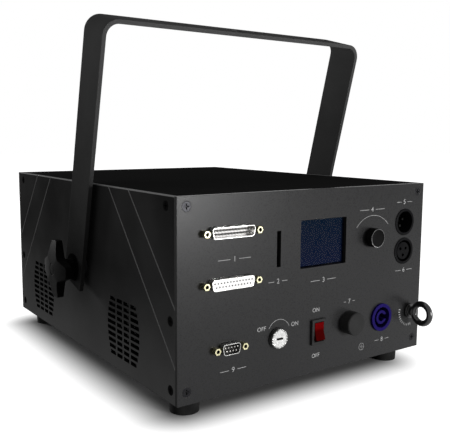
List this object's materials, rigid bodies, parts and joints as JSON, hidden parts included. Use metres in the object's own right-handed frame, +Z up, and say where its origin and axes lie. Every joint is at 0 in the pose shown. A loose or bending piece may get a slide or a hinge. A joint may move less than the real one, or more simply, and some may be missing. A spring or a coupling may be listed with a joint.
{
  "type": "laser show projector",
  "caption": "Boxy stage laser projector on rubber feet with a tilting flat-bar yoke on four-lobed clamp knobs, a panel of ports and controls, and a beam window at the far end.",
  "frame": {"origin": "on the floor, under the middle of the whole object's box", "axes": "+X to the right facing the connector panel, +Y from the connector panel to the beam window, +Z up"},
  "size_m": [0.3178, 0.366, 0.3064],
  "materials": {
    "case_paint": "satin",
    "yoke_paint": "satin",
    "eye_paint": "gloss",
    "block_metal": "satin",
    "black_anodised": "satin",
    "supply_case": "satin",
    "dark_steel": "satin",
    "plain_steel": "satin",
    "nickel": "gloss",
    "jack_brass": "satin",
    "pin_gold": "gloss",
    "foot_rubber": "matte",
    "knob_plastic": "matte",
    "washer_fibre": "matte",
    "dark_moulding": "satin",
    "white_moulding": "satin",
    "blue_moulding": "satin",
    "red_moulding": "gloss",
    "screen": "gloss",
    "board_green": "satin",
    "clear_glass": "gloss",
    "silvered": "gloss"
  },
  "bodies": {
    "case": {"base_plate": "case_paint", "left_side_panel": "case_paint", "right_side_panel": "case_paint", "top_cover": "case_paint", "connector_panel": "case_paint", "aperture_panel": "case_paint", "eyebolt": "eye_paint", "corner_blocks": "block_metal", "plate_pillars": "block_metal", "mirror_mounts": "block_metal", "scanner_block": "block_metal", "scanner_drivers": "block_metal", "board_spacers": "block_metal", "optical_plate": "black_anodised", "laser_modules": "black_anodised", "pivot_bosses": "black_anodised", "power_supply": "supply_case", "case_screws": "dark_steel", "foot_screws": "plain_steel", "eyebolt_nut": "plain_steel", "scanner_motors": "plain_steel", "signal_in_shell": "nickel", "signal_out_shell": "nickel", "interlock_shell": "nickel", "jackscrews": "jack_brass", "connector_pins": "pin_gold", "rubber_feet": "foot_rubber", "fuse_holder_body": "knob_plastic", "interlock_insulator": "dark_moulding", "card_socket": "dark_moulding", "encoder_body": "dark_moulding", "data_in_housing": "dark_moulding", "data_out_housing": "dark_moulding", "key_switch_body": "dark_moulding", "fan_frames": "dark_moulding", "rocker_housing": "dark_moulding", "signal_in_insulator": "white_moulding", "signal_out_insulator": "white_moulding", "mains_inlet": "blue_moulding", "display_module": "screen", "control_board": "board_green", "window_glass": "clear_glass", "display_lens": "clear_glass", "combiner_mirrors": "silvered"},
    "yoke": {"yoke_bracket": "yoke_paint", "friction_washers": "washer_fibre"},
    "left_knob": {"left_clamp_knob": "knob_plastic", "left_clamp_stud": "plain_steel"},
    "right_knob": {"right_clamp_knob": "knob_plastic", "right_clamp_stud": "plain_steel"},
    "encoder_spindle": {"encoder_shaft": "plain_steel"},
    "encoder_dial": {"encoder_knob": "knob_plastic"},
    "key_lock": {"key_barrel": "nickel"},
    "mains_rocker": {"power_rocker": "red_moulding"},
    "fuse_carrier": {"fuse_link": "clear_glass"},
    "fuse_cover": {"fuse_cap": "knob_plastic"},
    "front_rotor": {"front_fan_rotor": "dark_moulding"},
    "rear_rotor": {"rear_fan_rotor": "dark_moulding"},
    "first_scan_mirror": {"scan_mirror_x": "silvered"},
    "second_scan_mirror": {"scan_mirror_y": "silvered"}
  },
  "joints": [
    {"name": "yoke_tilt", "type": "hinge", "parent": "case", "child": "yoke", "pos_m": [0, 0.0095, 0.09], "axis": [1, 0, 0], "range_deg": [-104, 75]},
    {"name": "left_knob_turn", "type": "hinge", "parent": "case", "child": "left_knob", "pos_m": [-0.13, 0.0095, 0.09], "axis": [-1, 0, 0], "range_deg": [0, 360]},
    {"name": "right_knob_turn", "type": "hinge", "parent": "case", "child": "right_knob", "pos_m": [0.13, 0.0095, 0.09], "axis": [1, 0, 0], "range_deg": [0, 360]},
    {"name": "encoder_press", "type": "slide", "parent": "case", "child": "encoder_spindle", "axis": [0, 1, 0], "range_m": [0, 0.0007], "stiffness_N_per_m": 3000},
    {"name": "encoder_turn", "type": "hinge", "parent": "encoder_spindle", "child": "encoder_dial", "pos_m": [0.064, -0.157, 0.1217], "axis": [0, 1, 0], "continuous": true},
    {"name": "key_turn", "type": "hinge", "parent": "case", "child": "key_lock", "pos_m": [-0.0385, -0.157, 0.05], "axis": [0, 1, 0], "range_deg": [0, 90]},
    {"name": "mains_switch", "type": "hinge", "parent": "case", "child": "mains_rocker", "pos_m": [0.004, -0.1558, 0.0483], "axis": [1, 0, 0], "range_deg": [0, 18]},
    {"name": "fuse_draw", "type": "slide", "parent": "case", "child": "fuse_carrier", "axis": [0, -1, 0], "range_m": [0, 0.03]},
    {"name": "fuse_unlock", "type": "hinge", "parent": "fuse_carrier", "child": "fuse_cover", "pos_m": [0.0396, -0.157, 0.0507], "axis": [0, -1, 0], "range_deg": [0, 60]},
    {"name": "front_fan_spin", "type": "hinge", "parent": "case", "child": "front_rotor", "pos_m": [-0.13, -0.071, 0.0495], "axis": [1, 0, 0], "continuous": true},
    {"name": "rear_fan_spin", "type": "hinge", "parent": "case", "child": "rear_rotor", "pos_m": [-0.13, 0.113, 0.0495], "axis": [1, 0, 0], "continuous": true},
    {"name": "first_scan", "type": "hinge", "parent": "case", "child": "first_scan_mirror", "pos_m": [0.022, 0.12, 0.091], "axis": [0, 1, 0], "range_deg": [-15, 15]},
    {"name": "second_scan", "type": "hinge", "parent": "case", "child": "second_scan_mirror", "pos_m": [0.022, 0.12, 0.103], "axis": [1, 0, 0], "range_deg": [-15, 15]}
  ]
}
